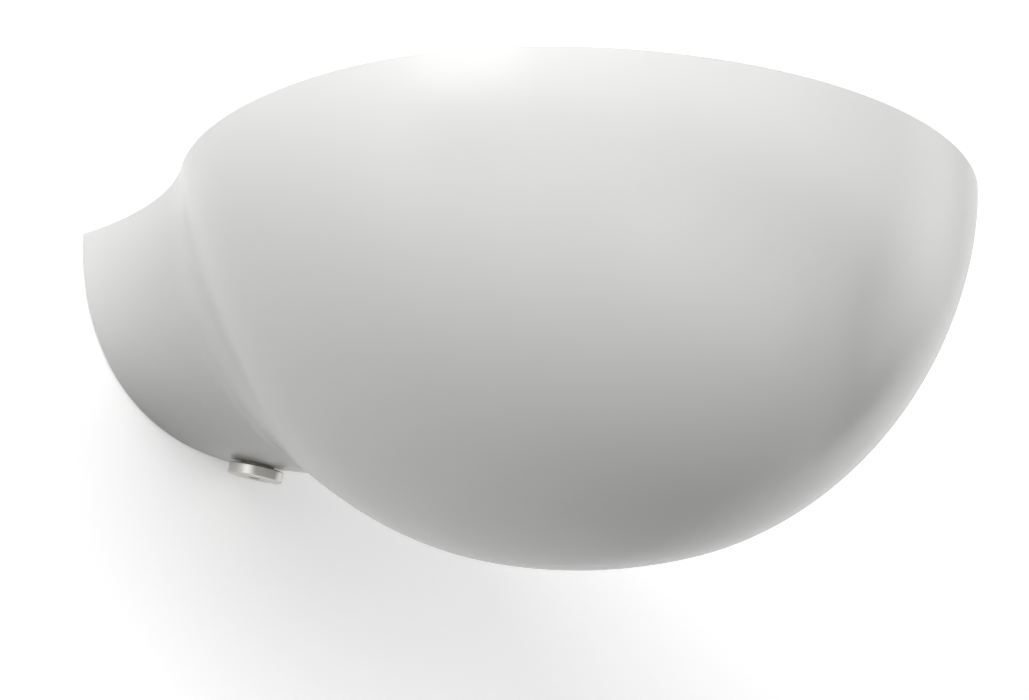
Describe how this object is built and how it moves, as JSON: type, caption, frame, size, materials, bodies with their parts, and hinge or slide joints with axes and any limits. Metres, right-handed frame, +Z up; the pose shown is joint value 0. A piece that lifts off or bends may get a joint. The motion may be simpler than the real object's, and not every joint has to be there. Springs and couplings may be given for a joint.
{
  "type": "uplighter wall sconce",
  "caption": "Half-flask cast metal wall uplighter, open at the top, hung on a steel wall bracket and locked by a disc-headed screw under its neck.",
  "frame": {"origin": "on the wall plane, midway between the two fixing slots of the wall bracket", "axes": "+Z up, -Y out of the wall into the room, +X along the wall"},
  "size_m": [0.286, 0.3, 0.1365],
  "materials": {
    "white_enamel": "gloss",
    "zinc_steel": "satin",
    "nickel_screw": "satin",
    "clamp_steel": "satin",
    "nylon": "matte",
    "white_plastic": "satin",
    "brass": "satin",
    "clamp_screws": "satin",
    "bright_aluminium": "polished",
    "hardened_glass": "gloss",
    "steatite": "matte",
    "nickel_contact": "polished",
    "spring_steel": "polished",
    "quartz_glass": "gloss",
    "tungsten": "satin",
    "brown_silicone": "satin",
    "blue_silicone": "satin",
    "green_yellow_silicone": "satin"
  },
  "bodies": {
    "fixture": {"shell": "white_enamel", "wall_bracket": "zinc_steel", "earth_washer": "zinc_steel", "holder_screws": "zinc_steel", "reflector_screws": "zinc_steel", "terminal_block_screw": "zinc_steel", "earth_screw": "zinc_steel", "glass_clips": "zinc_steel", "clamp_nut": "clamp_steel", "cable_bush": "white_plastic", "terminal_block": "white_plastic", "terminal_inserts": "brass", "earth_tag": "brass", "spade_connector": "brass", "terminal_screws": "clamp_screws", "reflector": "bright_aluminium", "glass_screen": "hardened_glass", "lampholder_left": "steatite", "lampholder_right": "steatite", "lamp_caps": "steatite", "lead_saddle": "steatite", "lamp_buttons": "nickel_contact", "contact_spring_left": "spring_steel", "contact_spring_right": "spring_steel", "lamp_tube": "quartz_glass", "filament": "tungsten", "live_lead": "brown_silicone", "neutral_lead": "blue_silicone", "earth_lead": "green_yellow_silicone"},
    "washer": {"screw_washer": "nylon"},
    "screw": {"locking_screw": "nickel_screw"},
    "plunger_left": {"contact_left": "nickel_contact"},
    "plunger_right": {"contact_right": "nickel_contact"}
  },
  "joints": [
    {"name": "screw_advance", "type": "slide", "parent": "fixture", "child": "washer", "axis": [0, 0.2723, -0.9622], "range_m": [0, 0.00485]},
    {"name": "screw_turn", "type": "hinge", "parent": "washer", "child": "screw", "pos_m": [0, -0.0159, -0.0382], "axis": [0, 0.2723, -0.9622], "range_deg": [0, 2160]},
    {"name": "contact_left_slide", "type": "slide", "parent": "fixture", "child": "plunger_left", "axis": [-1, 0, 0], "range_m": [0, 0.003], "stiffness_N_per_m": 3000, "springref_m": -0.001, "deforming": ["contact_spring_left"]},
    {"name": "contact_right_slide", "type": "slide", "parent": "fixture", "child": "plunger_right", "axis": [1, 0, 0], "range_m": [0, 0.003], "stiffness_N_per_m": 3000, "springref_m": -0.001, "deforming": ["contact_spring_right"]}
  ],
  "couplings": [
    {"joint": "screw_advance", "follows": "screw_turn", "m_per_rad": 0.00012732}
  ]
}
